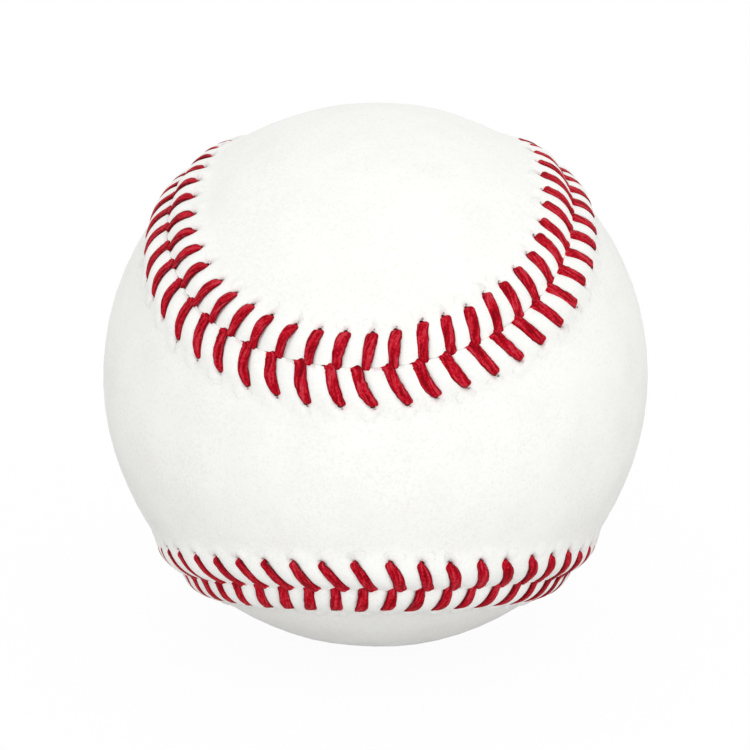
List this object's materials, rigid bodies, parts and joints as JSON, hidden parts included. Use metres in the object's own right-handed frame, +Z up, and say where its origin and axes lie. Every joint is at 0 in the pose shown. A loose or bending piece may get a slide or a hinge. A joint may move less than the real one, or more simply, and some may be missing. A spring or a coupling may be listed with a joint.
{
  "type": "baseball",
  "caption": "Hard leather ball for throwing, batting and catching: cork and rubber centre, wound wool core and figure-eight cover panels sewn along a raised red seam.",
  "frame": {"origin": "centre of the ball", "axes": "+Y runs from the middle of the front panel's waist to the middle of the back panel's waist and is the seam's symmetry axis; +Z and -Z run through the back panel's two lobes, with +Z up; +X and -X run through the front panel's two lobes"},
  "size_m": [0.0744, 0.0744, 0.0744],
  "materials": {
    "cork": "granular matte cork and rubber mix",
    "black_rubber": "matte",
    "red_rubber": "matte",
    "grey_wool": "wound wool yarn",
    "white_wool": "wound wool yarn",
    "finishing_yarn": "fine wound yarn under a film of cement",
    "cover_leather": "bright white full-grain leather, soft satin",
    "red_thread": "waxed cotton thread, low sheen"
  },
  "bodies": {
    "root": {"cork_core": "cork", "black_shell_left": "black_rubber", "black_shell_right": "black_rubber", "pill_washer": "red_rubber", "red_layer": "red_rubber", "grey_wool_winding": "grey_wool", "white_wool_winding": "white_wool", "second_grey_winding": "grey_wool", "finishing_winding": "finishing_yarn", "cover_panel_back": "cover_leather", "cover_panel_front": "cover_leather", "stitching_thread": "red_thread"}
  },
  "joints": []
}
